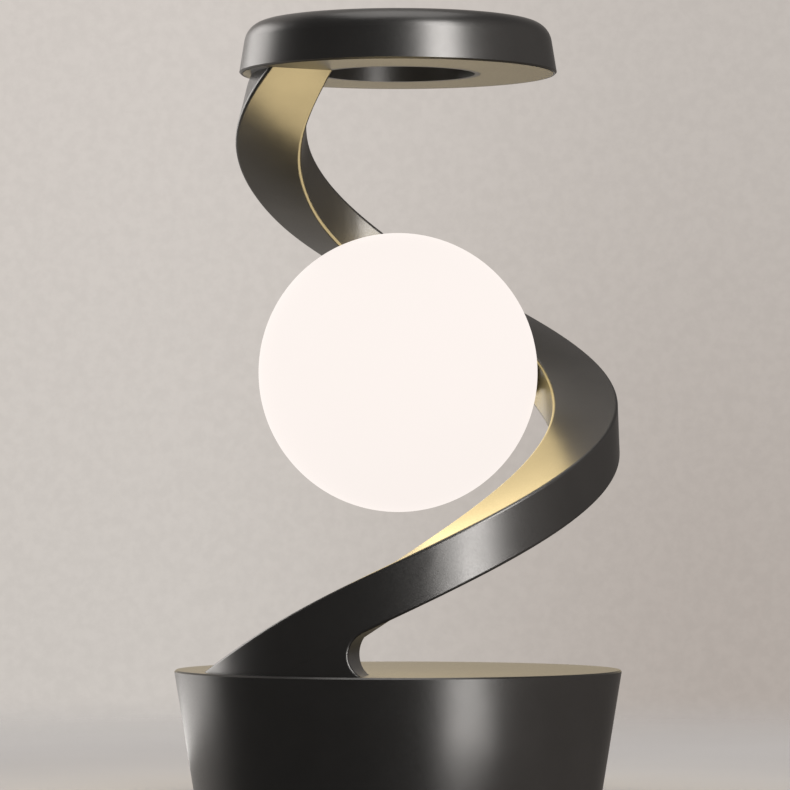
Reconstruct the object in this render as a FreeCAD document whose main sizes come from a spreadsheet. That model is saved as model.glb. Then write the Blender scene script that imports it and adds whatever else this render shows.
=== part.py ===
import FreeCAD, Part
import math
import os
import Sketcher

V = FreeCAD.Vector

# Driving sizes in millimetres and degrees. Azimuths are measured about the lamp's upright
# axis, from the front (-Y) towards the right (+X). Heights are above the table.
SIZES = {
    # base
    "base_top_z": 48.0,
    "base_top_radius": 80.0,
    "base_bottom_radius": 72.7,
    "base_wall": 3.0,
    "base_top_wall": 4.0,
    "rim_chamfer": 0.6,
    "foot_height": 2.5,
    "foot_inset": 4.2,
    "foot_width": 8.0,
    "cover_thickness": 3.0,
    "cover_gap": 0.2,
    "post_radius": 4.5,
    "post_inset": 18.7,
    "post_first_az": 0.0,
    # ballast
    "ballast_gap": 3.5,
    "ballast_hole_radius": 12.0,
    "ballast_height": 14.0,
    "ballast_screw_circle": 30.0,
    # circuit board
    "board_length": 60.0,
    "board_width": 40.0,
    "board_thickness": 1.6,
    "coil_radius": 6.5,
    "coil_height": 7.0,
    "capacitor_radius": 4.0,
    "capacitor_height": 10.0,
    "board_drop": 15.0,
    "board_hole_inset": 4.0,
    "standoff_radius": 3.0,
    # rear wall fittings
    "rear_z": 24.0,
    "inlet_az": 165.0,
    "button_az": 195.0,
    "inlet_recess": 0.8,
    "inlet_width": 8.9,
    "inlet_height": 3.2,
    "inlet_depth": 7.3,
    "inlet_skin": 0.3,
    "inlet_back": 1.4,
    "tongue_width": 6.6,
    "tongue_height": 0.7,
    "tongue_length": 4.6,
    "inlet_boss_width": 15.0,
    "inlet_boss_height": 8.0,
    "button_radius": 4.8,
    "button_proud": 1.6,
    "button_travel": 1.0,
    "button_gap": 0.3,
    "button_flange_radius": 6.0,
    "button_flange_thickness": 1.5,
    "button_pin_radius": 1.6,
    "button_pin_length": 4.3,
    "button_boss_radius": 8.6,
    "button_shoulder_inset": 7.15,
    "button_bore_length": 8.5,
    "button_bore_radius": 6.6,
    "switch_side": 12.6,
    "switch_depth": 6.0,
    "switch_collar": 4.0,
    # spiral arm: ten stations of its middle line. Each has an azimuth, a rise above the base's
    # top for an arm that climbs arm_climb to the ring, and a place outwards: the first four
    # inside the base's rim, the next three outside the globe, the last outside the ring's hole
    "arm_az_1": -70.0,
    "arm_az_2": -50.0,
    "arm_az_3": -28.0,
    "arm_az_4": 5.0,
    "arm_az_5": 80.0,
    "arm_az_6": 155.0,
    "arm_az_7": 215.0,
    "arm_az_8": 250.0,
    "arm_az_9": 278.0,
    "arm_az_10": 306.0,
    "arm_rim_inset_1": 16.2,
    "arm_rim_inset_2": 16.1,
    "arm_rim_inset_3": 16.2,
    "arm_rim_inset_4": 16.25,
    "arm_globe_offset_5": 17.35,
    "arm_globe_offset_6": 14.45,
    "arm_globe_offset_7": 8.75,
    "arm_hole_offset_8": 20.85,
    "arm_hole_offset_9": 12.6,
    "arm_hole_offset_10": 7.5,
    "arm_climb": 213.5,
    "arm_rise_1": -10.9,
    "arm_rise_2": -1.0,
    "arm_rise_3": 12.9,
    "arm_rise_4": 33.35,
    "arm_rise_5": 81.05,
    "arm_rise_6": 129.4,
    "arm_rise_7": 169.7,
    "arm_rise_8": 193.6,
    "arm_rise_9": 209.95,
    "arm_rise_10": 226.15,
    "arm_width_foot": 21.9,
    "arm_width_head": 25.4,
    "arm_height_foot": 19.3,
    "arm_height_head": 18.7,
    "arm_lean_foot": 0.35,
    "arm_lean_head": 3.8,
    "arm_lean_from_az": 230.0,
    "arm_lean_to_az": 290.0,
    "arm_rounding": 1.0,
    "notch_radius": 8.0,
    "notch_sink": 0.6,
    "notch_turn": -0.2,
    "notch_skew": -1.4,
    "notch_rounding": 0.8,
    "root_end": 6.0,
    # screws that hold the arm
    "foot_screw_radius": 2.5,
    "foot_screw_depth": 6.0,
    "foot_screw_head_radius": 4.25,
    "foot_screw_head_height": 3.0,
    "foot_screw_az_1": -46.0,
    "foot_screw_az_2": -32.0,
    "foot_screw_az_3": -18.0,
    "head_screw_radius": 2.0,
    "head_screw_depth": 6.0,
    "head_screw_head_radius": 3.5,
    "head_screw_head_height": 2.4,
    "head_screw_az_1": 270.0,
    "head_screw_az_2": 282.0,
    "head_screw_circle": 40.5,
    # head ring
    "ring_z": 261.5,
    "ring_height": 18.5,
    "ring_radius": 57.0,
    "ring_top_radius": 54.07,
    "ring_hole_radius": 27.6,
    "ring_wall": 2.0,
    "ring_side_wall": 3.0,
    "ring_rounding": 8.0,
    "ring_bevel": 0.6,
    "ring_hole_rounding": 0.8,
    "plate_thickness": 3.0,
    "plate_gap": 0.1,
    "plate_lip": 1.2,
    # globe
    "globe_z": 154.3,
    "globe_radius": 50.0,
    "globe_wall": 2.0,
    "globe_opening_radius": 15.0,
    "cap_depth": 5.4,
    "cap_lip": 0.5,
    "cap_lip_thickness": 0.8,
    "cap_gap": 0.05,
    "keeper_radius": 7.0,
    "keeper_proud": 0.2,
    "keeper_thickness": 2.0,
    "keeper_hole_radius": 2.2,
    "globe_contact_radius": 1.3,
    # light source
    "lead_radius": 1.1,
    "stalk_radius": 4.0,
    "stalk_bore_radius": 2.5,
    "stalk_flange_radius": 11.0,
    "stalk_flange_thickness": 2.0,
    "stalk_head_radius": 8.0,
    "stalk_head_thickness": 1.4,
    "led_board_radius": 18.0,
    "led_board_thickness": 1.6,
    "led_board_place": 6.0,
    "led_side": 2.8,
    "led_height": 0.7,
    "led_circle": 11.0,
    "diffuser_radius": 17.5,
    "diffuser_depth": 14.0,
    "diffuser_slant": 6.0,
    "diffuser_wall": 1.2,
    "cap_screw_circle": 8.2,
    # magnet dock
    "magnet_gap": 0.2,
    "running_gap": 0.05,
    "bush_radius": 6.4,
    "bush_wall": 0.65,
    "bush_flange_lip": 0.6,
    "bush_flange_thickness": 1.2,
    "bush_depth": 7.0,
    "bush_floor": 2.2,
    "pot_floor": 1.6,
    "pot_wall": 1.0,
    "pot_stem_radius": 2.6,
    "magnet_set_back": 0.4,
    "contact_radius": 1.1,
    "contact_sleeve_radius": 1.9,
    "clip_radius": 4.4,
    "clip_thickness": 0.8,
    "dock_chamber_depth": 13.5,
    # small screws of the base and the cap
    "small_screw_radius": 1.5,
    "small_screw_head_radius": 2.8,
    "small_screw_head_height": 1.6,
    "cover_screw_length": 9.0,
    "ballast_screw_length": 8.0,
    "board_screw_length": 7.0,
    "screw_hole_spare": 1.0,
    "cap_screw_radius": 1.1,
    "cap_screw_head_radius": 2.2,
    "cap_screw_head_height": 1.2,
    "cap_screw_depth": 2.0,
    "thread_gap": 0.05,
    "clearance_gap": 0.2,
}

doc = FreeCAD.newDocument("MagneticBalanceLamp")
sheet = doc.addObject("Spreadsheet::Sheet", "dim")
nodes = []


def write_size(row, name, value):
    sheet.set("A%d" % row, name)
    sheet.set("B%d" % row, str(value))
    sheet.setAlias("B%d" % row, name)


def size(name):
    return float(sheet.get(name))


def node(name, thing):
    """Mark a finished object as one named piece of the lamp."""
    thing.Label = name
    nodes.append(thing)
    return thing


# ---------------------------------------------------------------- drawing helpers

def origin_plane(body, role):
    return [part for part in body.Origin.OriginFeatures if part.Role == role][0]


def new_sketch(body, name, role, height):
    sketch = body.newObject("Sketcher::SketchObject", name)
    sketch.AttachmentSupport = [(origin_plane(body, role), "")]
    sketch.MapMode = "FlatFace"
    sketch.setExpression("AttachmentOffset.Base.z", height)
    return sketch


def pin_point(sketch, geometry, point, start, place):
    """Hold one point of a sketch at a place given by two rules."""
    for kind, value, rule in (("DistanceX", start.x, place[0]), ("DistanceY", start.y, place[1])):
        index = sketch.addConstraint(Sketcher.Constraint(kind, -1, 1, geometry, point, value))
        sketch.setExpression("Constraints[%d]" % index, rule)


def outline(body, name, role, corners, height="0"):
    """Closed outline through corners, each a pair of rules."""
    sketch = new_sketch(body, name, role, height)
    count = len(corners)
    turns = [2 * math.pi * step / count for step in range(count)]
    start = [V(40 + 10 * math.cos(turn), 40 + 10 * math.sin(turn), 0) for turn in turns]
    for index in range(count):
        sketch.addGeometry(Part.LineSegment(start[index], start[(index + 1) % count]))
    for index in range(count):
        sketch.addConstraint(Sketcher.Constraint("Coincident", index, 2, (index + 1) % count, 1))
    for index, corner in enumerate(corners):
        pin_point(sketch, index, 1, start[index], corner)
    return sketch


def circles(body, name, places, radius, height="0"):
    """Circles of one radius on a level plane."""
    sketch = new_sketch(body, name, "XY_Plane", height)
    for index, place in enumerate(places):
        start = V(5 + 15 * index, 5, 0)
        sketch.addGeometry(Part.Circle(start, V(0, 0, 1), 3))
        pin_point(sketch, index, 3, start, place)
        rule = sketch.addConstraint(Sketcher.Constraint("Radius", index, 3))
        sketch.setExpression("Constraints[%d]" % rule, radius)
    return sketch


def on_circle(radius, azimuth):
    """A place at a distance from the upright axis, as two rules."""
    return ("(%s) * sin(%s)" % (radius, azimuth), "-(%s) * cos(%s)" % (radius, azimuth))


def new_body(name):
    body = doc.addObject("PartDesign::Body", name)
    body.AllowCompound = True
    return body


def pad(body, sketch, length):
    step = body.newObject("PartDesign::Pad", sketch.Name + "_pad")
    step.Profile = sketch
    step.setExpression("Length", length)
    return step


def bore_up(body, sketch, length):
    """Cut a sketch upwards from its plane."""
    step = body.newObject("PartDesign::Pocket", sketch.Name + "_bore")
    step.Profile = sketch
    step.Reversed = True
    step.setExpression("Length", length)
    return step


def turned(name, corners):
    """A body turned about its own Z axis from an outline of (radius, height) rules."""
    body = new_body(name)
    sketch = outline(body, name + "_profile", "XZ_Plane", corners)
    step = body.newObject("PartDesign::Revolution", name + "_turn")
    step.Profile = sketch
    step.ReferenceAxis = (sketch, ["V_Axis"])
    step.Angle = 360
    return body


def bushing(name, inner, outer, bottom, top):
    """A turned sleeve, or a plain rod when the inner radius is 0."""
    return turned(name, [(inner, bottom), (outer, bottom), (outer, top), (inner, top)])


def cylinder(name, radius, height):
    thing = doc.addObject("Part::Cylinder", name)
    thing.setExpression("Radius", radius)
    thing.setExpression("Height", height)
    return thing


def sphere(name, radius):
    thing = doc.addObject("Part::Sphere", name)
    thing.setExpression("Radius", radius)
    return thing


def box(name, length, width, height):
    """A box centred on its own Z axis and standing on its own XY plane."""
    body = new_body(name)
    x, y = "(%s) / 2" % length, "(%s) / 2" % width
    corners = [("-" + x, "-" + y), (x, "-" + y), (x, y), ("-" + x, y)]
    pad(body, outline(body, name + "_face", "XY_Plane", corners), height)
    return body


def slot(name, width, height, length):
    """A bar along its own Z axis with a flat oval section: width along Y, height along X."""
    radius = "(%s) / 2" % height
    middle = box(name + "_middle", height, "(%s) - (%s)" % (width, height), length)
    ends = []
    for side, sign in (("left", "-"), ("right", "")):
        end = cylinder(name + "_" + side, radius, length)
        end.setExpression("Placement.Base.y", "%s((%s) - (%s)) / 2" % (sign, width, height))
        ends.append(end)
    return fuse(name, [middle] + ends)


def fuse(name, things):
    whole = doc.addObject("Part::MultiFuse", name)
    whole.Shapes = things
    whole.Refine = True
    return whole


def cut(name, base, tools):
    tool = tools[0] if len(tools) == 1 else fuse(name + "_tools", tools)
    whole = doc.addObject("Part::Cut", name)
    whole.Base = base
    whole.Tool = tool
    whole.Refine = True
    return whole


def common(name, first, second):
    whole = doc.addObject("Part::MultiCommon", name)
    whole.Shapes = [first, second]
    return whole


def outward(azimuth, distance, height):
    """Placement whose Z axis points away from the upright axis at an azimuth."""
    level = FreeCAD.Rotation(V(0, 0, 1), azimuth - 90) * FreeCAD.Rotation(V(0, 1, 0), 90)
    start = V(math.sin(math.radians(azimuth)), -math.cos(math.radians(azimuth)), 0) * distance
    return FreeCAD.Placement(start + V(0, 0, height), level)


def place(thing, placement):
    thing.Placement = placement
    return thing


def screws(name, places, radius, head_radius, seat, head_height, length, upwards=True):
    """Cap screws in one group; seat is the height of the face the heads bear on."""
    body = new_body(name)
    sign = "-" if upwards else "+"
    heads = circles(body, name + "_heads", places, head_radius, seat)
    head_step = pad(body, heads, head_height)
    head_step.Reversed = upwards
    shanks = circles(body, name + "_shanks", places, radius, "%s %s %s" % (seat, sign, "0.1"))
    shank_step = pad(body, shanks, "%s + 0.1" % length)
    shank_step.Reversed = not upwards
    return body


# ---------------------------------------------------------------- the arm's middle line

def station_reach(index):
    """Radius of the arm's middle line at a station."""
    if index <= 4:
        return size("base_top_radius") - size("arm_rim_inset_%d" % index)
    if index <= 7:
        return size("globe_radius") + size("arm_globe_offset_%d" % index)
    return size("ring_hole_radius") + size("arm_hole_offset_%d" % index)


class ArmPath:
    """Radius, rise and section of the spiral arm against azimuth."""

    def __init__(self):
        stations = range(1, 11)
        self.stretch = (size("ring_z") - size("base_top_z")) / size("arm_climb")
        self.azimuths = [size("arm_az_%d" % index) for index in stations]
        self.reach_curve = self.through([station_reach(index) for index in stations])
        rises = [self.stretch * size("arm_rise_%d" % index) for index in stations]
        self.rise_curve = self.through(rises)
        self.first = self.azimuths[0]
        self.last = self.azimuths[-1]

    def through(self, values):
        points = [V(azimuth, value, 0) for azimuth, value in zip(self.azimuths, values)]
        curve = Part.BSplineCurve()
        curve.interpolate(Points=points, Parameters=self.azimuths)
        return curve

    def share(self, azimuth):
        return (azimuth - self.first) / (self.last - self.first)

    def reach(self, azimuth):
        return self.reach_curve.value(azimuth).y

    def middle_z(self, azimuth):
        return size("base_top_z") + self.rise_curve.value(azimuth).y

    def width(self, azimuth):
        change = size("arm_width_head") - size("arm_width_foot")
        return size("arm_width_foot") + change * self.share(azimuth)

    def height(self, azimuth):
        change = size("arm_height_head") - size("arm_height_foot")
        return size("arm_height_foot") + change * self.share(azimuth)

    def lean(self, azimuth):
        """How far the section's lower edge stands out and its upper edge in."""
        start = size("arm_lean_from_az")
        part = (azimuth - start) / (size("arm_lean_to_az") - start)
        change = size("arm_lean_head") - size("arm_lean_foot")
        return size("arm_lean_foot") + change * min(max(part, 0.0), 1.0)

    def azimuth_at(self, target, offset):
        """Azimuth where the middle line, shifted up by offset(azimuth), reaches a height."""
        low, high = self.first, self.last
        for _ in range(60):
            middle = (low + high) / 2
            if self.middle_z(middle) + offset(middle) < target:
                low = middle
            else:
                high = middle
        return low

    def underside_azimuth(self):
        return self.azimuth_at(size("base_top_z"), lambda azimuth: -self.height(azimuth) / 2)

    def dock_azimuth(self):
        return self.azimuth_at(size("globe_z"), lambda azimuth: 0.0)


def radial(azimuth):
    return V(math.sin(math.radians(azimuth)), -math.cos(math.radians(azimuth)), 0)


def closed_wire(corners):
    return Part.makePolygon(corners + corners[:1])


def arm_section(path, azimuth):
    out, up = radial(azimuth), V(0, 0, 1)
    half_width, half_height = path.width(azimuth) / 2, path.height(azimuth) / 2
    lean = path.lean(azimuth)
    middle = out * path.reach(azimuth) + up * path.middle_z(azimuth)
    return closed_wire([
        middle + out * (lean - half_width) - up * half_height,
        middle + out * (lean + half_width) - up * half_height,
        middle + out * (half_width - lean) + up * half_height,
        middle - out * (half_width + lean) + up * half_height,
    ])


def arm_bar(path):
    """The spiral bar between the base's top and the head ring, all its edges sharp."""
    sections = 31
    step = (path.last - path.first) / (sections - 1)
    wires = [arm_section(path, path.first + index * step) for index in range(sections)]
    return Part.makeLoft(wires, True, False).common(arm_space())


def lower_end_azimuth(edge):
    point = min((vertex.Point for vertex in edge.Vertexes), key=lambda point: point.z)
    return math.degrees(math.atan2(point.x, -point.y))


def arm_space():
    """Box between the base's top and the head ring."""
    reach = 2 * size("base_top_radius")
    height = size("ring_z") - size("base_top_z")
    return Part.makeBox(2 * reach, 2 * reach, height, V(-reach, -reach, size("base_top_z")))


class Notch:
    """The rounded notch between the arm's underside and the base's top."""

    def __init__(self, path):
        self.path = path
        self.radius = size("notch_radius")
        start = path.underside_azimuth()
        self.outer = path.reach(start) + path.width(start) / 2
        self.inner = path.reach(start) - path.width(start) / 2
        rise = path.middle_z(start + 0.5) - path.middle_z(start - 0.5)
        self.angle = math.atan(rise / math.radians(1.0) / self.outer)
        self.centre = start + math.degrees(self.radius / math.tan(self.angle / 2) / self.outer)

    def touch_azimuth(self):
        """Azimuth where the notch meets the arm's underside, on the arm's outer side."""
        along = self.radius * math.sin(self.angle)
        return self.centre + size("notch_turn") - math.degrees(along / self.outer)

    def place(self, distance, points):
        """Put points, given along the arm and up from the notch's centre, at a distance from the axis."""
        depth = (self.outer - distance) / (self.outer - self.inner)
        azimuth = self.centre + size("notch_turn") + size("notch_skew") * depth
        wide = distance / self.outer
        level = size("base_top_z") + self.radius - size("notch_sink")
        out, along = radial(azimuth), radial(azimuth + 90)
        return [out * distance + along * (wide * x) + V(0, 0, level + y) for x, y in points]

    def ring(self, distance):
        """Outline of the notch, a hair over size."""
        reach = self.radius * 1.012
        turns = [2 * math.pi * step / 24 for step in range(24)]
        points = [(reach * math.cos(turn), reach * math.sin(turn)) for turn in turns]
        curve = Part.BSplineCurve()
        curve.interpolate(Points=self.place(distance, points), PeriodicFlag=True)
        return Part.Wire([curve.toShape()])

    def gate(self, distance):
        """Outline of what lies above the notch, from its highest point of touch onwards."""
        touch = -self.radius * math.sin(self.angle)
        far, high = 1.6 * self.radius, 6 * self.radius
        return closed_wire(self.place(distance, [(touch, 0), (far, 0), (far, high), (touch, high)]))

    def tool(self):
        near, far = self.inner - 8, self.outer + 8
        hollow = Part.makeLoft([self.ring(near), self.ring(far)], True, True)
        return hollow.fuse(Part.makeLoft([self.gate(near), self.gate(far)], True, True))


def fill_section(path, azimuth):
    """Section under the arm, in line with the arm's leaning sides and a hair narrower."""
    hair, sunk, drop = 0.04, 3.0, 40.0
    out, up = radial(azimuth), V(0, 0, 1)
    half = path.width(azimuth) / 2 - hair
    lean, slope = path.lean(azimuth), 2 * path.lean(azimuth) / path.height(azimuth)
    edge = path.middle_z(azimuth) - path.height(azimuth) / 2
    top = out * (path.reach(azimuth) + lean - slope * sunk) + up * (edge + sunk)
    low = out * (path.reach(azimuth) + lean + slope * drop) + up * (edge - drop)
    return closed_wire([low - out * half, low + out * half, top + out * half, top - out * half])


def arm_fill(path, notch):
    """The solid foot under the first part of the arm, ending in the notch."""
    start, end = path.first + 8, notch.centre
    step = (end - start) / 8
    wires = [fill_section(path, start + index * step) for index in range(9)]
    fill = Part.makeLoft(wires, True, False).common(arm_space())
    return fill.cut(notch.tool())


def notch_edges(shape, notch):
    """The two curved edges of the notch, on the arm's inner and outer sides."""
    base = size("base_top_z")
    found = []
    for edge in shape.Edges:
        heights = [vertex.Point.z for vertex in edge.Vertexes]
        spots = [math.degrees(math.atan2(vertex.Point.x, -vertex.Point.y)) for vertex in edge.Vertexes]
        if len(heights) != 2 or edge.Length > 3.2 * notch.radius:
            continue
        rises = min(heights) < base + 0.01 and max(heights) > base + notch.radius
        if rises and min(spots) > notch.centre - 15 and max(spots) < notch.centre + 8:
            found.append(edge)
    return found


def root_space(notch):
    """Space round the arm's root, up to just before the notch."""
    reach = 2 * size("base_top_radius")
    height = size("globe_z") - size("base_top_z")
    space = Part.makeBox(reach, reach, height, V(0, -reach, size("base_top_z")))
    space.rotate(V(0, 0, 0), V(0, 0, 1), notch.touch_azimuth() - size("root_end") - 90)
    return space


def arm_shape(path):
    """The rounded bar with its foot. The lower edges stay sharp where the bar runs into the foot."""
    notch = Notch(path)
    space = root_space(notch)
    bar = arm_bar(path)
    long_edges = [edge for edge in bar.Edges if edge.Length > 2 * size("globe_radius")]
    halfway = (path.first + path.underside_azimuth()) / 2
    upper_edges = [edge for edge in long_edges if lower_end_azimuth(edge) < halfway]
    root = bar.makeFillet(size("arm_rounding"), upper_edges).common(space).fuse(arm_fill(path, notch))
    whole = bar.makeFillet(size("arm_rounding"), long_edges).cut(space).fuse(root)
    # A flatter arm meets the base in a thinner wedge, which takes a smaller rounding.
    rounding = size("notch_rounding") * path.stretch ** 2
    return whole.makeFillet(rounding, notch_edges(whole, notch))


# ---------------------------------------------------------------- rules used by several pieces

def outer_radius_at(height):
    """Rule for the radius of the base's tapered side at a height."""
    slope = "(dim.base_top_radius - dim.base_bottom_radius) / (dim.base_top_z - dim.foot_height)"
    return "dim.base_bottom_radius + (%s - dim.foot_height) * %s" % (height, slope)


CEILING = "dim.base_top_z - dim.base_top_wall"
COVER_TOP = "dim.foot_height + dim.cover_thickness"
BALLAST_TOP = "dim.foot_height + dim.cover_thickness + dim.ballast_height"
BOARD_TOP = "dim.base_top_z - dim.base_top_wall - dim.board_drop"
BOARD_BOTTOM = BOARD_TOP + " - dim.board_thickness"
RING_TOP = "dim.ring_z + dim.ring_height"
PLATE_TOP = "dim.ring_z + dim.plate_thickness"

POST_CIRCLE = "dim.base_bottom_radius - dim.post_inset"
POSTS = [on_circle(POST_CIRCLE, "dim.post_first_az + %d" % turn) for turn in (0, 90, 180, 270)]
BALLAST_SCREWS = [on_circle("dim.ballast_screw_circle", str(turn)) for turn in (0, 120, 240)]
FOOT_SCREWS = [on_circle("dim.foot_screw_circle", "dim.foot_screw_az_%d" % index) for index in (1, 2, 3)]
HEAD_SCREWS = [on_circle("dim.head_screw_circle", "dim.head_screw_az_%d" % index) for index in (1, 2)]
CAP_SCREWS = [on_circle("dim.cap_screw_circle", str(turn)) for turn in (0, 120, 240)]


def board_corners():
    along = "(dim.board_length / 2 - dim.board_hole_inset)"
    across = "(dim.board_width / 2 - dim.board_hole_inset)"
    return [(a + along, b + across) for a in ("", "-") for b in ("", "-")]


def solved_sizes(path):
    """Sizes that follow from the arm's middle line, kept in the sheet with the others."""
    dock = path.dock_azimuth()
    shoulder = rear_outer_radius() - size("button_shoulder_inset")
    return {
        "dock_az": dock,
        "dock_face": path.reach(dock) - path.width(dock) / 2,
        "foot_screw_circle": path.reach(size("foot_screw_az_2")),
        "rear_outer": rear_outer_radius(),
        "button_shoulder": shoulder,
        "button_boss_start": shoulder - size("button_bore_length"),
    }


def rear_outer_radius():
    share = (size("rear_z") - size("foot_height")) / (size("base_top_z") - size("foot_height"))
    return size("base_bottom_radius") + share * (size("base_top_radius") - size("base_bottom_radius"))


# ---------------------------------------------------------------- base

def make_base_housing():
    inner_top = "%s - dim.base_wall" % outer_radius_at("(%s)" % CEILING)
    body = turned("housing_turned", [
        ("0", "dim.base_top_z"),
        ("dim.base_top_radius - dim.rim_chamfer", "dim.base_top_z"),
        ("dim.base_top_radius", "dim.base_top_z - dim.rim_chamfer"),
        ("dim.base_bottom_radius", "dim.foot_height"),
        ("dim.base_bottom_radius - dim.base_wall", "dim.foot_height"),
        (inner_top, CEILING),
        ("0", CEILING),
    ])
    posts = circles(body, "cover_posts", POSTS, "dim.post_radius", COVER_TOP)
    pad(body, posts, "dim.base_top_z - %s - dim.base_top_wall / 2" % COVER_TOP.replace("+", "-"))
    pegs = circles(body, "board_standoffs", board_corners(), "dim.standoff_radius", BOARD_TOP)
    pad(body, pegs, "dim.board_drop + dim.base_top_wall / 2")
    thread = "dim.small_screw_radius + dim.thread_gap"
    post_threads = circles(body, "post_threads", POSTS, thread, COVER_TOP)
    bore_up(body, post_threads, "dim.cover_screw_length + dim.screw_hole_spare")
    standoff_threads = circles(body, "standoff_threads", board_corners(), thread, BOARD_TOP)
    bore_up(body, standoff_threads, "dim.board_screw_length + dim.screw_hole_spare")
    through = circles(body, "foot_screw_holes", FOOT_SCREWS,
                      "dim.foot_screw_radius + dim.clearance_gap", CEILING)
    bore_up(body, through, "dim.base_top_wall")
    solid = fuse("housing_with_bosses", [body, inlet_boss(), button_boss()])
    return node("base_housing", cut("base_housing", solid, [inlet_hole(), button_hole(), button_bore()]))


def inlet_boss():
    length = "dim.inlet_depth + 1.5"
    thing = box("inlet_boss", "dim.inlet_boss_height", "dim.inlet_boss_width", length)
    start = size("rear_outer") - size("inlet_recess") - size("inlet_depth") - 2.2
    return place(thing, outward(size("inlet_az"), start, size("rear_z")))


def inlet_hole():
    width = "dim.inlet_width + 2 * dim.thread_gap"
    height = "dim.inlet_height + 2 * dim.thread_gap"
    thing = slot("inlet_hole", width, height, "dim.inlet_depth + 14")
    start = size("rear_outer") - size("inlet_depth") - 8
    return place(thing, outward(size("inlet_az"), start, size("rear_z")))


def button_boss():
    length = "dim.rear_outer - dim.button_boss_start - dim.base_wall / 2"
    thing = cylinder("button_boss", "dim.button_boss_radius", length)
    return place(thing, outward(size("button_az"), size("button_boss_start"), size("rear_z")))


def button_hole():
    thing = cylinder("button_hole", "dim.button_radius + dim.button_gap", "30")
    return place(thing, outward(size("button_az"), size("button_boss_start"), size("rear_z")))


def button_bore():
    length = "dim.button_bore_length + 1"
    thing = cylinder("button_bore", "dim.button_bore_radius", length)
    return place(thing, outward(size("button_az"), size("button_boss_start") - 1, size("rear_z")))


def make_base_cover():
    radius = "dim.base_bottom_radius - dim.base_wall - dim.cover_gap"
    body = bushing("base_cover", "0", radius, "dim.foot_height", COVER_TOP)
    hole = "dim.small_screw_radius + dim.clearance_gap"
    head = "dim.small_screw_head_radius + dim.clearance_gap"
    places = POSTS + BALLAST_SCREWS
    bore_up(body, circles(body, "cover_holes", places, hole, "dim.foot_height"), "dim.cover_thickness")
    sinks = circles(body, "cover_sinks", places, head, "dim.foot_height")
    bore_up(body, sinks, "dim.small_screw_head_height")
    node("base_cover", body)


def make_ballast():
    outer = POST_CIRCLE + " - dim.post_radius - dim.ballast_gap"
    body = bushing("ballast_weight", "dim.ballast_hole_radius", outer, COVER_TOP, BALLAST_TOP)
    threads = circles(body, "ballast_threads", BALLAST_SCREWS,
                      "dim.small_screw_radius + dim.thread_gap", COVER_TOP)
    bore_up(body, threads, "dim.ballast_screw_length + dim.screw_hole_spare")
    node("ballast_weight", body)


def make_base_screws():
    seat = "dim.foot_height + dim.small_screw_head_height"
    sizes = ("dim.small_screw_radius", "dim.small_screw_head_radius")
    head = "dim.small_screw_head_height"
    cover = screws("base_cover_screws", POSTS, *sizes, seat, head, "dim.cover_screw_length")
    node("base_cover_screws", cover)
    ballast = screws("ballast_screws", BALLAST_SCREWS, *sizes, seat, head, "dim.ballast_screw_length")
    node("ballast_screws", ballast)
    board = screws("board_screws", board_corners(), *sizes, BOARD_BOTTOM, head, "dim.board_screw_length")
    node("board_screws", board)


def make_board():
    body = new_body("driver_board")
    x, y = "dim.board_length / 2", "dim.board_width / 2"
    corners = [("-" + x, "-" + y), (x, "-" + y), (x, y), ("-" + x, y)]
    pad(body, outline(body, "board_face", "XY_Plane", corners, BOARD_BOTTOM), "dim.board_thickness")
    hole = "dim.small_screw_radius + dim.clearance_gap"
    bore_up(body, circles(body, "board_holes", board_corners(), hole, BOARD_BOTTOM), "dim.board_thickness")
    node("driver_board", body)


def make_board_parts():
    body = new_body("driver_parts")
    pad(body, circles(body, "coil_core", [("-12", "4")], "dim.coil_radius", BOARD_TOP), "dim.coil_height")
    cans = circles(body, "capacitors", [("8", "10"), ("8", "-6")], "dim.capacitor_radius", BOARD_TOP)
    pad(body, cans, "dim.capacitor_height")
    chip = [("-20", "-14"), ("-8", "-14"), ("-8", "-7"), ("-20", "-7")]
    pad(body, outline(body, "chip", "XY_Plane", chip, BOARD_TOP), "1.6")
    plug = [("18", "-6"), ("25", "-6"), ("25", "6"), ("18", "6")]
    pad(body, outline(body, "board_socket", "XY_Plane", plug, BOARD_TOP), "6")
    node("driver_parts", body)


def make_inlet():
    start = size("rear_outer") - size("inlet_recess") - size("inlet_depth")
    where = outward(size("inlet_az"), start, size("rear_z"))
    shell = slot("inlet_outside", "dim.inlet_width", "dim.inlet_height", "dim.inlet_depth")
    inside = slot("inlet_inside", "dim.inlet_width - 2 * dim.inlet_skin",
                  "dim.inlet_height - 2 * dim.inlet_skin", "dim.inlet_depth")
    node("power_inlet", place(cut("power_inlet", shell, [inside]), where))
    back = slot("inlet_back", "dim.inlet_width - 2 * dim.inlet_skin",
                "dim.inlet_height - 2 * dim.inlet_skin", "dim.inlet_back")
    tongue = box("inlet_tongue", "dim.tongue_height", "dim.tongue_width",
                 "dim.inlet_back + dim.tongue_length")
    node("inlet_insert", place(fuse("inlet_insert", [back, tongue]), where))


def make_button():
    flange_front = "(dim.button_shoulder - dim.running_gap)"
    flange_back = "(%s - dim.button_flange_thickness)" % flange_front
    front = "(dim.rear_outer + dim.button_proud)"
    body = turned("power_button", [
        ("0", flange_back + " - dim.button_pin_length"),
        ("dim.button_pin_radius", flange_back + " - dim.button_pin_length"),
        ("dim.button_pin_radius", flange_back),
        ("dim.button_flange_radius", flange_back),
        ("dim.button_flange_radius", flange_front),
        ("dim.button_radius", flange_front),
        ("dim.button_radius", front + " - 0.5"),
        ("dim.button_radius - 0.5", front),
        ("0", front),
    ])
    node("power_button", place(body, outward(size("button_az"), 0, size("rear_z"))))


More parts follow.
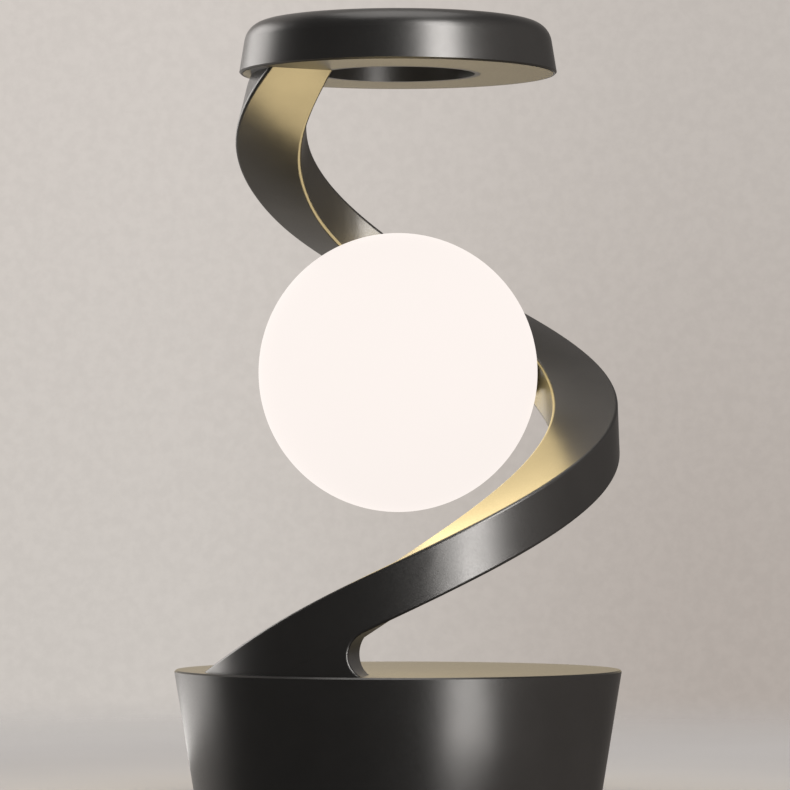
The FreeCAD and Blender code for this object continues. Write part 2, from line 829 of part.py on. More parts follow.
def make_switch():
    collar = cylinder("switch_collar_solid", "dim.button_bore_radius - dim.thread_gap",
                      "dim.switch_collar + dim.switch_depth / 2")
    collar.setExpression("Placement.Base.z", "dim.switch_depth / 2")
    block = box("switch_block", "dim.switch_side", "dim.switch_side", "dim.switch_depth")
    hole = cylinder("switch_hole", "dim.button_pin_radius + dim.button_gap", "5")
    hole.setExpression("Placement.Base.z", "dim.switch_depth + dim.switch_collar - 4.4")
    whole = cut("switch_body", fuse("switch_solid", [block, collar]), [hole])
    start = size("button_boss_start") - size("switch_depth")
    node("switch_body", place(whole, outward(size("button_az"), start, size("rear_z"))))


def make_foot():
    outer = "dim.base_bottom_radius - dim.foot_inset"
    ring = bushing("non_slip_ring", outer + " - dim.foot_width", outer, "0", "dim.foot_height")
    node("non_slip_ring", ring)


def make_base():
    make_base_housing()
    make_base_cover()
    make_foot()
    make_ballast()
    make_board()
    make_board_parts()
    make_base_screws()
    make_inlet()
    make_button()
    make_switch()


# ---------------------------------------------------------------- arm and head ring

def dock_bore(name, radius, start, length):
    """Round hole along the dock's axis, from a distance to a distance further out."""
    thing = cylinder(name, radius, length)
    return place(thing, outward(size("dock_az"), start, size("globe_z")))


def make_arm(path):
    blank = doc.addObject("Part::Feature", "arm_blank")
    blank.Shape = arm_shape(path)
    face = size("dock_face")
    threads = new_body("arm_threads")
    foot = circles(threads, "arm_foot_threads", FOOT_SCREWS, "dim.foot_screw_radius + dim.thread_gap",
                   "dim.base_top_z - 1")
    pad(threads, foot, "dim.foot_screw_depth + 1.5")
    head = circles(threads, "arm_head_threads", HEAD_SCREWS, "dim.head_screw_radius + dim.thread_gap",
                   "dim.ring_z - dim.head_screw_depth - 0.5")
    pad(threads, head, "dim.head_screw_depth + 1.5")
    tools = [
        threads,
        dock_bore("dock_spot_face", BUSH_FLANGE + " + dim.thread_gap", face - 6, "6"),
        dock_bore("dock_chamber", "dim.bush_radius + dim.thread_gap",
                  face - 1, "dim.dock_chamber_depth + 1"),
    ]
    node("spiral_band", cut("spiral_band", blank, tools))
    foot_screws = screws("band_foot_screws", FOOT_SCREWS,
                         "dim.foot_screw_radius", "dim.foot_screw_head_radius",
                         CEILING, "dim.foot_screw_head_height",
                         "dim.base_top_wall + dim.foot_screw_depth")
    node("band_foot_screws", foot_screws)


def circle_edge(shape, radius, height):
    """Name of the circular edge at a height whose radius is nearest to the one asked for."""
    best, name = None, ""
    for index, edge in enumerate(shape.Edges):
        if not hasattr(edge.Curve, "Radius") or abs(edge.Curve.Center.z - height) > 0.01:
            continue
        miss = abs(edge.Curve.Radius - radius)
        if best is None or miss < best:
            best, name = miss, "Edge%d" % (index + 1)
    return name


def round_edge(body, name, radius, height, rounding):
    doc.recompute()
    tip = body.Tip
    step = body.newObject("PartDesign::Fillet", name)
    step.Base = (tip, [circle_edge(tip.Shape, radius, height)])
    step.setExpression("Radius", rounding)


def make_ring_shell():
    slope = "(dim.ring_radius - dim.ring_top_radius) / dim.ring_height"
    seat = "dim.ring_radius - dim.plate_lip"
    ledge = "dim.ring_radius - dim.ring_side_wall"
    knee = "dim.ring_rounding"
    body = turned("head_ring_shell", [
        ("dim.ring_hole_radius", "dim.ring_z"),
        ("dim.ring_hole_radius + dim.ring_wall", "dim.ring_z"),
        ("dim.ring_hole_radius + dim.ring_wall", RING_TOP + " - dim.ring_wall"),
        ("dim.ring_top_radius - %s" % knee, RING_TOP + " - dim.ring_wall"),
        ("%s - %s * %s" % (ledge, knee, slope), RING_TOP + " - %s - dim.ring_wall" % knee),
        (ledge, PLATE_TOP),
        (seat, PLATE_TOP),
        (seat, "dim.ring_z + dim.ring_bevel / 3"),
        ("dim.ring_radius - dim.ring_bevel", "dim.ring_z"),
        ("dim.ring_radius", "dim.ring_z + dim.ring_bevel"),
        ("dim.ring_top_radius", RING_TOP),
        ("dim.ring_hole_radius", RING_TOP),
    ])
    top = size("ring_z") + size("ring_height")
    round_edge(body, "ring_shoulder", size("ring_top_radius"), top, "dim.ring_rounding")
    round_edge(body, "ring_hole_edge", size("ring_hole_radius"), top, "dim.ring_hole_rounding")
    node("head_ring_shell", body)


def make_ring_plate():
    inner = "dim.ring_hole_radius + dim.ring_wall + dim.plate_gap"
    outer = "dim.ring_radius - dim.plate_lip - dim.plate_gap"
    body = bushing("head_ring_plate", inner, outer, "dim.ring_z", PLATE_TOP)
    holes = circles(body, "plate_holes", HEAD_SCREWS,
                    "dim.head_screw_radius + dim.clearance_gap", "dim.ring_z")
    bore_up(body, holes, "dim.plate_thickness")
    node("head_ring_plate", body)
    head_screws = screws("head_ring_screws", HEAD_SCREWS,
                         "dim.head_screw_radius", "dim.head_screw_head_radius",
                         PLATE_TOP, "dim.head_screw_head_height",
                         "dim.plate_thickness + dim.head_screw_depth", False)
    node("head_ring_screws", head_screws)


# ---------------------------------------------------------------- magnet dock, along its own axis

BUSH_BORE = "(dim.bush_radius - dim.bush_wall)"
BUSH_FLANGE = "(dim.bush_radius + dim.bush_flange_lip)"
CAP_INNER = "(dim.globe_radius - dim.cap_depth)"
KEEPER_FACE = "(dim.globe_radius + dim.keeper_proud)"
POT_RIM = "(dim.globe_radius + dim.keeper_proud + dim.magnet_gap)"
BUSH_BACK = "(dim.dock_face + dim.bush_depth)"
POT_BACK = "(dim.dock_face + dim.bush_depth - dim.bush_floor - dim.magnet_gap)"


def on_dock(name, thing):
    node(name, place(thing, outward(size("dock_az"), 0, size("globe_z"))))


def make_bush():
    floor = "(dim.dock_face + dim.bush_depth - dim.bush_floor)"
    front = "dim.dock_face - dim.bush_flange_thickness"
    on_dock("dock_bush", turned("dock_bush", [
        ("dim.pot_stem_radius + dim.running_gap", floor),
        (BUSH_BORE, floor),
        (BUSH_BORE, front),
        (BUSH_FLANGE, front),
        (BUSH_FLANGE, "dim.dock_face"),
        ("dim.bush_radius", "dim.dock_face"),
        ("dim.bush_radius", BUSH_BACK),
        ("dim.pot_stem_radius + dim.running_gap", BUSH_BACK),
    ]))


def make_pot():
    outer = BUSH_BORE + " - dim.running_gap"
    bore = "dim.contact_sleeve_radius + dim.running_gap"
    end = BUSH_BACK + " + dim.running_gap + dim.clip_thickness + 0.8"
    on_dock("magnet_cup", turned("magnet_cup", [
        (bore, POT_BACK + " - dim.pot_floor"),
        ("%s - dim.pot_wall" % outer, POT_BACK + " - dim.pot_floor"),
        ("%s - dim.pot_wall" % outer, POT_RIM),
        (outer, POT_RIM),
        (outer, POT_BACK),
        ("dim.pot_stem_radius", POT_BACK),
        ("dim.pot_stem_radius", end),
        (bore, end),
    ]))


def make_dock_inside():
    magnet_outer = BUSH_BORE + " - dim.running_gap * 2 - dim.pot_wall"
    sleeve_bore = "dim.contact_sleeve_radius + dim.running_gap"
    front = POT_RIM + " + dim.magnet_set_back"
    end = BUSH_BACK + " + dim.running_gap + dim.clip_thickness + 0.8"
    on_dock("dock_magnet", bushing("dock_magnet", sleeve_bore, magnet_outer,
                                   front, POT_BACK + " - dim.pot_floor"))
    on_dock("contact_insulator", bushing("contact_insulator", "dim.contact_radius + dim.running_gap",
                                         "dim.contact_sleeve_radius", front, end))
    on_dock("contact_pin", bushing("contact_pin", "0", "dim.contact_radius",
                                   KEEPER_FACE + " + 0.1", end + " + 0.6"))
    clip_front = BUSH_BACK + " + dim.running_gap"
    on_dock("dock_clip", bushing("dock_clip", "dim.pot_stem_radius + dim.running_gap / 2",
                                 "dim.clip_radius", clip_front, clip_front + " + dim.clip_thickness"))


# ---------------------------------------------------------------- globe, along the dock's axis

def make_globe_shell():
    hollow = sphere("globe_hollow", "dim.globe_radius - dim.globe_wall")
    opening = cylinder("globe_opening", "dim.globe_opening_radius", "dim.globe_radius + 5")
    shell = cut("globe_shell", sphere("globe_ball", "dim.globe_radius"), [hollow, opening])
    on_dock("globe_shell", shell)


def make_globe_cap():
    disc = cylinder("cap_disc", "dim.globe_opening_radius - dim.cap_gap", "dim.cap_depth + 5")
    disc.setExpression("Placement.Base.z", CAP_INNER)
    dish = common("cap_dish", sphere("cap_ball", "dim.globe_radius"), disc)
    lip = cylinder("cap_lip_disc", "dim.globe_opening_radius + dim.cap_lip", "dim.cap_lip_thickness")
    lip.setExpression("Placement.Base.z", CAP_INNER)
    tools = new_body("cap_tools")
    recess = circles(tools, "keeper_recess", [("0", "0")], "dim.keeper_radius + dim.cap_gap",
                     KEEPER_FACE + " - dim.keeper_thickness")
    pad(tools, recess, "dim.keeper_thickness + 5")
    core = circles(tools, "contact_hole", [("0", "0")], "dim.keeper_hole_radius", CAP_INNER + " - 1")
    pad(tools, core, "8")
    thread = circles(tools, "cap_threads", CAP_SCREWS, "dim.cap_screw_radius + dim.thread_gap",
                     CAP_INNER + " - 1")
    pad(tools, thread, "dim.cap_screw_depth + 1.6")
    on_dock("globe_cap", cut("globe_cap", fuse("cap_solid", [dish, lip]), [tools]))


def make_keeper():
    back = KEEPER_FACE + " - dim.keeper_thickness"
    on_dock("keeper_plate", bushing("keeper_plate", "dim.keeper_hole_radius", "dim.keeper_radius",
                                    back, KEEPER_FACE))
    on_dock("contact_ring_insulator", bushing(
        "contact_ring_insulator", "dim.globe_contact_radius + dim.running_gap",
        "dim.keeper_hole_radius - dim.running_gap", CAP_INNER, KEEPER_FACE))
    on_dock("globe_contact", bushing("globe_contact", "0", "dim.globe_contact_radius",
                                     CAP_INNER, KEEPER_FACE))


def make_stalk():
    foot = "(%s - dim.stalk_flange_thickness)" % CAP_INNER
    board_back = "(dim.led_board_place + dim.led_board_thickness)"
    body = turned("led_post", [
        ("dim.stalk_bore_radius", board_back),
        ("dim.stalk_head_radius", board_back),
        ("dim.stalk_head_radius", board_back + " + dim.stalk_head_thickness"),
        ("dim.stalk_radius", board_back + " + dim.stalk_head_thickness"),
        ("dim.stalk_radius", foot),
        ("dim.stalk_flange_radius", foot),
        ("dim.stalk_flange_radius", CAP_INNER),
        ("dim.stalk_bore_radius", CAP_INNER),
    ])
    holes = circles(body, "stalk_holes", CAP_SCREWS, "dim.cap_screw_radius + dim.clearance_gap", foot)
    bore_up(body, holes, "dim.stalk_flange_thickness")
    on_dock("led_post", body)
    cap_screws = screws("cap_screws", CAP_SCREWS, "dim.cap_screw_radius", "dim.cap_screw_head_radius",
                        foot, "dim.cap_screw_head_height",
                        "dim.stalk_flange_thickness + dim.cap_screw_depth")
    on_dock("cap_screws", cap_screws)
    on_dock("globe_lead", bushing("globe_lead", "0", "dim.lead_radius", board_back, CAP_INNER))


def make_light():
    front = "dim.led_board_place"
    board_back = "dim.led_board_place + dim.led_board_thickness"
    on_dock("led_board", bushing("led_board", "0", "dim.led_board_radius", front, board_back))
    chips = new_body("led_emitters")
    places = [on_circle("dim.led_circle", str(60 * step)) for step in range(6)] + [("0", "0")]
    for index, spot in enumerate(places):
        corners = [("%s %s dim.led_side / 2" % (spot[0], a), "%s %s dim.led_side / 2" % (spot[1], b))
                   for a, b in (("-", "-"), ("+", "-"), ("+", "+"), ("-", "+"))]
        face = outline(chips, "led_%d" % index, "XY_Plane", corners, front + " - dim.led_height")
        pad(chips, face, "dim.led_height")
    on_dock("led_emitters", chips)
    on_dock("led_diffuser", turned("led_diffuser", diffuser_outline()))


def diffuser_outline():
    """A cup over the board, open towards it, with a slanted rim."""
    rim, floor = "dim.led_board_place", "(dim.led_board_place - dim.diffuser_depth)"
    slant, wall = "dim.diffuser_slant", "dim.diffuser_wall"
    return [
        ("0", floor),
        ("dim.diffuser_radius - %s" % slant, floor),
        ("dim.diffuser_radius", "%s + %s" % (floor, slant)),
        ("dim.diffuser_radius", rim),
        ("dim.diffuser_radius - %s" % wall, rim),
        ("dim.diffuser_radius - %s" % wall, "%s + %s + %s / 3" % (floor, slant, wall)),
        ("dim.diffuser_radius - %s - %s / 3" % (slant, wall), "%s + %s" % (floor, wall)),
        ("0", "%s + %s" % (floor, wall)),
    ]


# ---------------------------------------------------------------- build and write

def check(thing):
    bad = [state for state in thing.State if state in ("Invalid", "Error")]
    if bad:
        raise RuntimeError("%s is %s" % (thing.Label, bad))
    if hasattr(thing, "Shape") and thing in nodes:
        if thing.Shape.isNull() or not thing.Shape.isValid() or not thing.Shape.Solids:
            raise RuntimeError("%s has no sound solid" % thing.Label)


def main():
    rows = list(SIZES.items())
    for row, (name, value) in enumerate(rows, 1):
        write_size(row, name, value)
    doc.recompute()
    path = ArmPath()
    for row, (name, value) in enumerate(solved_sizes(path).items(), len(rows) + 1):
        write_size(row, name, round(value, 4))
    doc.recompute()
    make_base()
    make_arm(path)
    make_ring_shell()
    make_ring_plate()
    make_bush()
    make_pot()
    make_dock_inside()
    make_globe_shell()
    make_globe_cap()
    make_keeper()
    make_stalk()
    make_light()
    doc.recompute()
    for thing in doc.Objects:
        check(thing)
    os.makedirs("parts", exist_ok=True)
    for thing in nodes:
        thing.Shape.exportStep("parts/%s.step" % thing.Label)


main()
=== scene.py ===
import math

import bpy
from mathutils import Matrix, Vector


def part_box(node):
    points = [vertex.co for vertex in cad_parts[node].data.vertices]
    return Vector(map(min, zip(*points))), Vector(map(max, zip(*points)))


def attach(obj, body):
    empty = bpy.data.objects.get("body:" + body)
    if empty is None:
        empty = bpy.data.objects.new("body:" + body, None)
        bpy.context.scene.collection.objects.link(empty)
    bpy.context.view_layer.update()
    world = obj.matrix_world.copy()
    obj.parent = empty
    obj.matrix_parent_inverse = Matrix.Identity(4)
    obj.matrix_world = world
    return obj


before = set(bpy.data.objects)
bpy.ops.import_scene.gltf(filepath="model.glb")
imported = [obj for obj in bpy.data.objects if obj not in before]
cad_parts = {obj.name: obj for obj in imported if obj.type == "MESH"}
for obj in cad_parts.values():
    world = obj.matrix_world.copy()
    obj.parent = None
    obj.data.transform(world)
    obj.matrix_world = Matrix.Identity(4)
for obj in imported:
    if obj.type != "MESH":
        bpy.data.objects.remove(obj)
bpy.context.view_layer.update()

# ---------------------------------------------------------------- camera
# The picture is square. The focal length, the object's axis and the horizon are in its pixels,
# the camera's place is in metres and the sensor in millimetres.
IMAGE_SIDE = 790
FOCAL_PIXELS = 4412.4
AXIS_X = 398.02
HORIZON_Y = 505.32
CAMERA_DISTANCE = 1.5815
CAMERA_HEIGHT = 0.1067
SENSOR = 36.0
CLIP_NEAR = 0.05
CLIP_FAR = 60.0


def make_camera():
    data = bpy.data.cameras.new("camera")
    data.sensor_width = SENSOR
    data.lens = SENSOR * FOCAL_PIXELS / IMAGE_SIDE
    data.clip_start = CLIP_NEAR
    data.clip_end = CLIP_FAR
    camera = bpy.data.objects.new("camera", data)
    bpy.context.scene.collection.objects.link(camera)
    centre = IMAGE_SIDE / 2
    pitch = math.atan((HORIZON_Y - centre) / FOCAL_PIXELS)
    yaw = math.atan((AXIS_X - centre) / FOCAL_PIXELS)
    camera.location = (0.0, -CAMERA_DISTANCE, CAMERA_HEIGHT)
    camera.rotation_euler = (math.pi / 2 + pitch, 0.0, yaw)
    bpy.context.scene.camera = camera


# ---------------------------------------------------------------- colours
def screen_colour(red, green, blue):
    """A screen colour from 0 to 255, by the sRGB curve, as a shader's linear colour."""
    def linear(value):
        share = value / 255.0
        return share / 12.92 if share <= 0.04045 else ((share + 0.055) / 1.055) ** 2.4
    return (linear(red), linear(green), linear(blue), 1.0)


def grey(value, warm=0.0):
    """A linear grey, or a warm one with that share more red and less blue."""
    return (value * (1 + warm), value, value * (1 - warm), 1.0)


WALL_LEFT_HIGH = screen_colour(209, 202, 196)
WALL_LEFT_LOW = screen_colour(203, 197, 191)
WALL_RIGHT_HIGH = screen_colour(194, 187, 181)
WALL_RIGHT_LOW = screen_colour(177, 168, 161)
FLOOR_LOW = screen_colour(181, 179, 179)
FLOOR_HIGH = screen_colour(186, 184, 184)
GLOBE_WHITE = screen_colour(253, 244, 239)
LAMP_WARM = (1.0, 0.75, 0.30)
DAYLIGHT = (1.0, 0.97, 0.94)


# ---------------------------------------------------------------- node helpers
class Nodes:
    """A node tree and short ways of adding nodes to it."""

    def __init__(self, tree):
        self.tree = tree

    def link(self, source, target):
        self.tree.links.new(source, target)

    def add(self, kind, **values):
        node = self.tree.nodes.new("ShaderNode" + kind)
        for name, value in values.items():
            setattr(node, name, value)
        return node

    def noise(self, source, scale, detail, rough=0.5):
        node = self.add("TexNoise")
        node.inputs["Scale"].default_value = scale
        node.inputs["Detail"].default_value = detail
        node.inputs["Roughness"].default_value = rough
        self.link(source, node.inputs["Vector"])
        return node.outputs["Fac"]

    def span(self, source, start, end, low=0.0, high=1.0):
        """The source's range from start to end, taken to the range from low to high."""
        node = self.add("MapRange", interpolation_type="SMOOTHSTEP")
        node.inputs["From Min"].default_value = start
        node.inputs["From Max"].default_value = end
        node.inputs["To Min"].default_value = low
        node.inputs["To Max"].default_value = high
        self.link(source, node.inputs["Value"])
        return node.outputs["Result"]

    def math(self, operation, first, second):
        node = self.add("Math", operation=operation)
        self.link(first, node.inputs[0])
        self.link(second, node.inputs[1])
        return node.outputs["Value"]

    def mix_colour(self, factor, first, second):
        """The first colour at a factor of 0, the second at 1. Each is a colour or an output.

        Inputs 6 and 7 and output 2 are the sockets that the Mix node has for colours.
        """
        node = self.add("Mix", data_type="RGBA")
        self.link(factor, node.inputs["Factor"])
        for value, socket in ((first, node.inputs[6]), (second, node.inputs[7])):
            if isinstance(value, tuple):
                socket.default_value = value
            else:
                self.link(value, socket)
        return node.outputs[2]


class Shader(Nodes):
    """A material whose surface is one Principled shader."""

    def __init__(self, name):
        self.material = bpy.data.materials.new(name)
        self.material.use_nodes = True
        super().__init__(self.material.node_tree)
        self.body = self.tree.nodes["Principled BSDF"]
        self.coords = self.add("TexCoord").outputs["Object"]

    def set(self, socket, value):
        self.body.inputs[socket].default_value = value

    def colour_between(self, factor, low, high):
        ramp = self.add("ValToRGB")
        first, last = ramp.color_ramp.elements
        first.position = 0.3
        first.color = low
        last.position = 0.7
        last.color = high
        self.link(factor, ramp.inputs["Fac"])
        self.link(ramp.outputs["Color"], self.body.inputs["Base Color"])

    def rough_between(self, factor, low, high):
        roughness = self.span(factor, start=0.25, end=0.75, low=low, high=high)
        self.link(roughness, self.body.inputs["Roughness"])

    def bump(self, factor, strength, distance):
        node = self.add("Bump")
        node.inputs["Strength"].default_value = strength
        node.inputs["Distance"].default_value = distance
        self.link(factor, node.inputs["Height"])
        self.link(node.outputs["Normal"], self.body.inputs["Normal"])


# ---------------------------------------------------------------- materials
GLOBE_STRENGTH = 0.965

SATIN_BLACK = dict(
    low=grey(0.103, 0.01), high=grey(0.118, 0.01), rough=(0.30, 0.36), grain=1800.0,
    cloud=45.0, bump=0.12, depth=0.00004, metallic=0.93, tint=grey(0.8),
)

FINISHES = {
    "satin_black_metal": SATIN_BLACK,
    "satin_black_aluminium": SATIN_BLACK,
    "opal_globe": dict(
        low=grey(0.05, 0.03), high=grey(0.06, 0.03), rough=(0.42, 0.50), grain=900.0,
        cloud=30.0, bump=0.05, depth=0.00003, specular=0.05,
    ),
    "white_plastic": dict(
        low=grey(0.72, 0.02), high=grey(0.78, 0.02), rough=(0.50, 0.60), grain=1200.0,
    ),
    "black_plastic": dict(
        low=grey(0.02), high=grey(0.03), rough=(0.50, 0.62), grain=1500.0,
    ),
    "black_rubber": dict(
        low=grey(0.018), high=grey(0.026), rough=(0.70, 0.85), grain=1400.0,
        cloud=80.0, bump=0.3,
    ),
    "raw_steel": dict(
        low=grey(0.48), high=grey(0.60), rough=(0.28, 0.42), grain=700.0,
        cloud=90.0, depth=0.00003, metallic=1.0,
    ),
    "black_screws": dict(
        low=grey(0.05), high=grey(0.08), rough=(0.30, 0.42), grain=900.0,
        cloud=90.0, depth=0.00003, metallic=1.0,
    ),
    "magnet_nickel": dict(
        low=grey(0.62, 0.02), high=grey(0.70, 0.02), rough=(0.14, 0.24), grain=600.0,
        cloud=70.0, bump=0.05, depth=0.00002, metallic=1.0,
    ),
    "contact_brass": dict(
        low=(0.72, 0.50, 0.20, 1), high=(0.82, 0.60, 0.28, 1), rough=(0.20, 0.32), grain=600.0,
        cloud=70.0, bump=0.05, depth=0.00002, metallic=1.0,
    ),
    "board_green": dict(
        low=(0.02, 0.12, 0.06, 1), high=(0.03, 0.16, 0.08, 1), rough=(0.30, 0.42), grain=900.0,
    ),
    "led_yellow": dict(
        low=(0.80, 0.62, 0.16, 1), high=(0.86, 0.70, 0.22, 1), rough=(0.40, 0.50), grain=900.0,
    ),
}


def make_finish(name, low, high, rough, grain, cloud=60.0, bump=0.1, depth=0.00005,
                metallic=0.0, specular=0.5, tint=grey(1.0)):
    """A material with a cloudy colour from low to high, and a fine grain in gloss and bump.

    Grain and cloud are noise scales, the larger the finer. Depth is the bump's, in metres, and
    tint colours a metal's gloss where it is seen at a flat angle.
    """
    shader = Shader(name)
    shader.colour_between(shader.noise(shader.coords, cloud, detail=4.0), low, high)
    fine = shader.noise(shader.coords, grain, detail=2.0)
    shader.rough_between(fine, rough[0], rough[1])
    shader.bump(fine, bump, depth)
    shader.set("Metallic", metallic)
    shader.set("Specular IOR Level", specular)
    shader.set("Specular Tint", tint)
    return shader


def make_materials():
    shaders = {name: make_finish(name, **finish) for name, finish in FINISHES.items()}
    globe = shaders["opal_globe"]
    globe.set("Emission Color", GLOBE_WHITE)
    globe.set("Emission Strength", GLOBE_STRENGTH)
    return {name: shader.material for name, shader in shaders.items()}


def paint_nodes(materials):
    """Give each CAD node the finish that is named as its material slot is."""
    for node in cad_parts.values():
        for slot in node.material_slots:
            name = slot.material.name.split(".")[0]
            slot.material = materials[name]


# ---------------------------------------------------------------- lights
# Heights and distances are in metres. A panel of radiance 1 looks white where gloss shows it.
OBJECT_MIDDLE = (0.0, 0.0, 0.15)
TABLE_LIGHT_HEIGHT = 0.002
GLOBE_LIGHT_GAP = 0.0006
GLOBE_LIGHT_WATTS = 0.43
WORLD_LIGHT = 0.8

# These lie inside or right at the ball of light round the globe, which would burn them out.
GLOBE_NODES = (
    "globe_shell", "globe_cap", "keeper_plate", "contact_ring_insulator", "globe_contact",
    "cap_screws",
)
DOCK_NODES = ("dock_bush", "magnet_cup", "dock_magnet", "contact_insulator", "contact_pin")


def around(azimuth, distance, height):
    """A place round the object. Azimuth 0 is the camera's side and 90 its right."""
    turn = math.radians(azimuth)
    return (distance * math.sin(turn), -distance * math.cos(turn), height)


def lit(lamp, nodes, state):
    """Let a lamp light only these nodes (INCLUDE) or all but these (EXCLUDE)."""
    receivers = bpy.data.collections.new(lamp.name + "_" + state.lower())
    for name in nodes:
        receivers.objects.link(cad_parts[name])
    lamp.light_linking.receiver_collection = receivers
    for entry in receivers.collection_objects:
        entry.light_linking.link_state = state


def softbox(name, place, width, tall, radiance, colour=DAYLIGHT, diffuse=False):
    """A light panel that faces the object's middle. If it isn't diffuse, only gloss shows it."""
    data = bpy.data.lights.new(name, "AREA")
    data.shape = "RECTANGLE"
    data.size = width
    data.size_y = tall
    data.energy = radiance * math.pi * width * tall
    data.color = colour
    lamp = bpy.data.objects.new(name, data)
    lamp.location = place
    lamp.rotation_mode = "QUATERNION"
    lamp.rotation_quaternion = (Vector(OBJECT_MIDDLE) - lamp.location).to_track_quat("-Z", "Y")
    lamp.visible_camera = False
    lamp.visible_diffuse = diffuse
    bpy.context.scene.collection.objects.link(lamp)
    return lamp


def table_glow(name, azimuth, distance, width, length, radiance):
    """A bright patch of the table, lying along an azimuth, that only the housing's gloss shows."""
    lamp = softbox(name, around(azimuth, distance, TABLE_LIGHT_HEIGHT), width, length, radiance)
    lamp.rotation_mode = "XYZ"
    lamp.rotation_euler = (math.pi, 0.0, math.radians(azimuth))
    lit(lamp, ("base_housing",), "INCLUDE")


def back_panel(node, radiance):
    """A warm panel behind the object that only one node's gloss shows."""
    lamp = softbox("panel_back_" + node, around(azimuth=180, distance=1.8, height=0.5),
                   width=1.2, tall=0.9, radiance=radiance, colour=LAMP_WARM)
    lit(lamp, (node,), "INCLUDE")


def globe_light():
    """The globe's warm light on what is near it, as a ball of light just outside its wall."""
    low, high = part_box("globe_shell")
    data = bpy.data.lights.new("globe_light", "POINT")
    data.shadow_soft_size = (high.z - low.z) / 2 + GLOBE_LIGHT_GAP
    data.energy = GLOBE_LIGHT_WATTS
    data.use_soft_falloff = False
    data.color = LAMP_WARM
    lamp = bpy.data.objects.new("globe_light", data)
    lamp.location = (low + high) / 2
    lamp.visible_camera = False
    bpy.context.scene.collection.objects.link(lamp)
    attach(lamp, "globe")
    lit(lamp, GLOBE_NODES + DOCK_NODES, "EXCLUDE")


def make_lights():
    strip_right = softbox("strip_right", around(azimuth=33, distance=1.6, height=0.55),
                          width=0.62, tall=2.0, radiance=8.8)
    panel_left = softbox("panel_left", around(azimuth=-128, distance=1.8, height=0.45),
                         width=1.1, tall=1.6, radiance=3.9)
    panel_top = softbox("panel_top", (0.0, 0.0, 2.2),
                        width=1.6, tall=1.6, radiance=1.6, diffuse=True)
    back_panel("head_ring_plate", radiance=1.6)
    back_panel("base_housing", radiance=0.45)
    lit(strip_right, ("globe_shell",), "EXCLUDE")
    lit(panel_left, ("globe_shell", "base_housing"), "EXCLUDE")
    lit(panel_top, ("globe_shell",), "EXCLUDE")
    table_glow("table_glow_right", azimuth=29, distance=0.215, width=0.05, length=0.17, radiance=3.4)
    table_glow("table_glow_left", azimuth=-130, distance=0.31, width=0.30, length=0.26, radiance=2.4)
    globe_light()


# ---------------------------------------------------------------- world and floor
# A direction's X points to the camera's right, its Y away from the camera and its Z up.
def wall_colour(nodes, direction, split):
    """The wall's colour, darker to the right and downwards, with a faint mottle of plaster."""
    across = nodes.span(split.outputs["X"], start=-0.06, end=0.08)
    upward = nodes.span(split.outputs["Z"], start=-0.06, end=0.12)
    left = nodes.mix_colour(upward, WALL_LEFT_LOW, WALL_LEFT_HIGH)
    right = nodes.mix_colour(upward, WALL_RIGHT_LOW, WALL_RIGHT_HIGH)
    grain = nodes.noise(direction, scale=420.0, detail=5.0, rough=0.6)
    mottle = nodes.span(grain, start=0.3, end=0.7, low=0.975, high=1.025)
    colour = nodes.add("VectorMath", operation="SCALE")
    nodes.link(nodes.mix_colour(across, left, right), colour.inputs[0])
    nodes.link(mottle, colour.inputs["Scale"])
    return colour.outputs["Vector"]


def mirrored_strength(nodes, split):
    """How brightly gloss shows the wall: fully behind the object, half to its right, barely in front."""
    behind = nodes.span(split.outputs["Y"], start=0.1, end=0.7, low=0.03, high=1.0)
    aside = nodes.span(split.outputs["X"], start=-0.1, end=0.45, low=1.0, high=0.4)
    right = nodes.span(split.outputs["X"], start=0.3, end=0.9, low=0.1, high=0.6)
    return nodes.math("MAXIMUM", nodes.math("MULTIPLY", behind, aside), right)


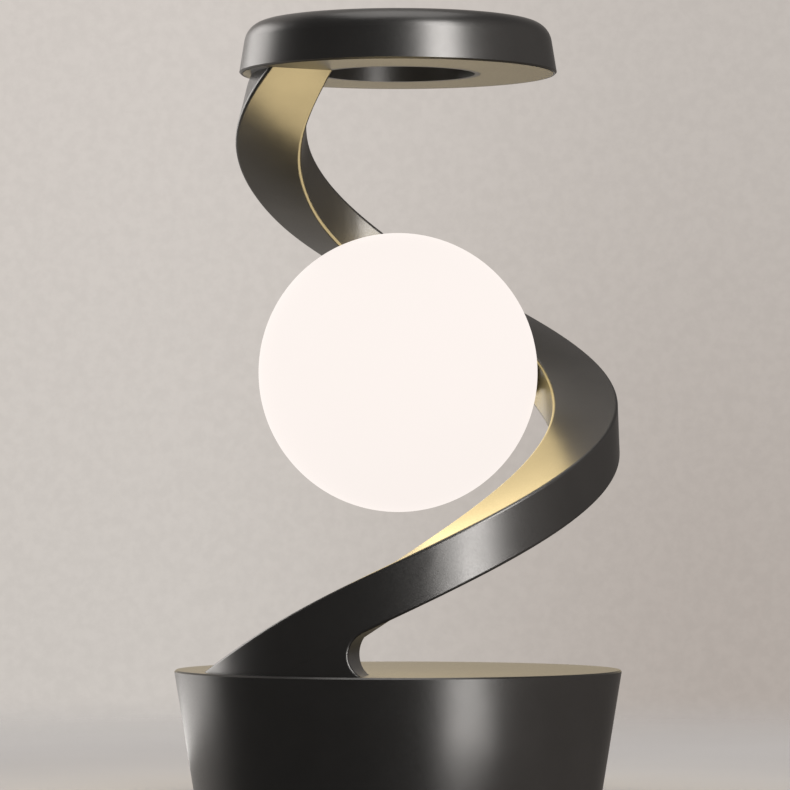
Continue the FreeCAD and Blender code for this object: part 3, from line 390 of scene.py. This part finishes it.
def make_world():
    """A pale wall for what looks at it, and an even soft light for matt surfaces."""
    world = bpy.data.worlds.new("studio")
    bpy.context.scene.world = world
    world.use_nodes = True
    nodes = Nodes(world.node_tree)
    nodes.tree.nodes.clear()
    direction = nodes.add("TexCoord").outputs["Generated"]
    split = nodes.add("SeparateXYZ")
    nodes.link(direction, split.inputs["Vector"])
    rays = nodes.add("LightPath").outputs
    direct = nodes.math("MAXIMUM", rays["Is Camera Ray"], rays["Is Transmission Ray"])
    seen = nodes.math("MAXIMUM", direct, rays["Is Glossy Ray"])
    mirrored = nodes.math("MULTIPLY", mirrored_strength(nodes, split), rays["Is Glossy Ray"])
    wall = nodes.add("Background")
    nodes.link(wall_colour(nodes, direction, split), wall.inputs["Color"])
    nodes.link(nodes.math("MAXIMUM", direct, mirrored), wall.inputs["Strength"])
    light = nodes.add("Background")
    light.inputs["Color"].default_value = DAYLIGHT + (1.0,)
    light.inputs["Strength"].default_value = WORLD_LIGHT
    mix = nodes.add("MixShader")
    nodes.link(seen, mix.inputs["Fac"])
    nodes.link(light.outputs["Background"], mix.inputs[1])
    nodes.link(wall.outputs["Background"], mix.inputs[2])
    nodes.link(mix.outputs["Shader"], nodes.add("OutputWorld").inputs["Surface"])


def make_floor():
    """A pale table top that gloss doesn't show. To the eye it fades into the wall with distance."""
    bpy.ops.mesh.primitive_circle_add(vertices=96, radius=6.0, fill_type="NGON")
    floor = bpy.context.object
    floor.name = "floor"
    shader = Shader("floor")
    cloud = shader.noise(shader.coords, scale=6.0, detail=3.0)
    shader.colour_between(cloud, FLOOR_LOW, FLOOR_HIGH)
    shader.set("Roughness", 0.9)
    shader.set("Specular IOR Level", 0.1)
    distance = shader.add("VectorMath", operation="LENGTH")
    shader.link(shader.coords, distance.inputs[0])
    fade = shader.span(distance.outputs["Value"], start=0.25, end=0.95)
    rays = shader.add("LightPath").outputs
    seen = shader.math("MAXIMUM", rays["Is Camera Ray"], rays["Is Transmission Ray"])
    mix = shader.add("MixShader")
    shader.link(shader.math("MULTIPLY", fade, seen), mix.inputs["Fac"])
    shader.link(shader.body.outputs["BSDF"], mix.inputs[1])
    shader.link(shader.add("BsdfTransparent").outputs["BSDF"], mix.inputs[2])
    output = shader.tree.nodes["Material Output"]
    shader.link(mix.outputs["Shader"], output.inputs["Surface"])
    floor.data.materials.append(shader.material)
    floor.visible_glossy = False


make_camera()
paint_nodes(make_materials())
make_lights()
make_world()
make_floor()
bpy.context.scene.view_settings.view_transform = "Standard"
